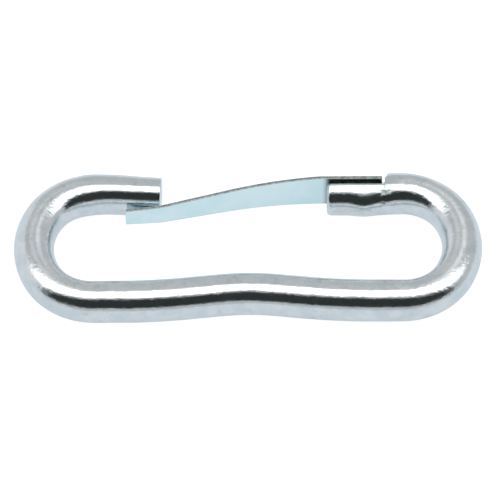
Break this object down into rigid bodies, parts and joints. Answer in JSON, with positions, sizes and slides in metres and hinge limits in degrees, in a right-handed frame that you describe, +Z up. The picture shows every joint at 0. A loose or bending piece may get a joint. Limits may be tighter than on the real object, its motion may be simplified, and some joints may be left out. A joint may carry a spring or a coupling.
{
  "type": "flat snap hook with leaf spring latch",
  "caption": "Snap hook bent from round bar: hook bow and eye bow joined by a waisted back leg, with the throat closed by a riveted leaf spring latch.",
  "frame": {"origin": "bottom centre of the whole hook, lying flat, with the bar's mid-plane 5 mm up", "axes": "+X from the hook bow towards the eye bow, +Y out through the throat on the latch side, +Z up out of the hook's plane"},
  "size_m": [0.111, 0.042, 0.01],
  "materials": {
    "plated_bar": "bright bluish zinc plate over bent bar, softly mottled",
    "plated_strip": "bright bluish zinc plate over smooth rolled strip",
    "plated_rivet": "zinc plate over a set rivet"
  },
  "bodies": {
    "hook": {"hook_body": "plated_bar", "latch_root": "plated_strip", "latch_rivet": "plated_rivet"},
    "latch": {"latch_blade": "plated_strip"}
  },
  "joints": [
    {"name": "latch_flex", "type": "hinge", "parent": "hook", "child": "latch", "pos_m": [0.0128, 0.0172, 0.005], "axis": [0, 0, 1], "range_deg": [0, 16], "stiffness_Nm_per_rad": 3.9, "springref_deg": -2.86}
  ]
}
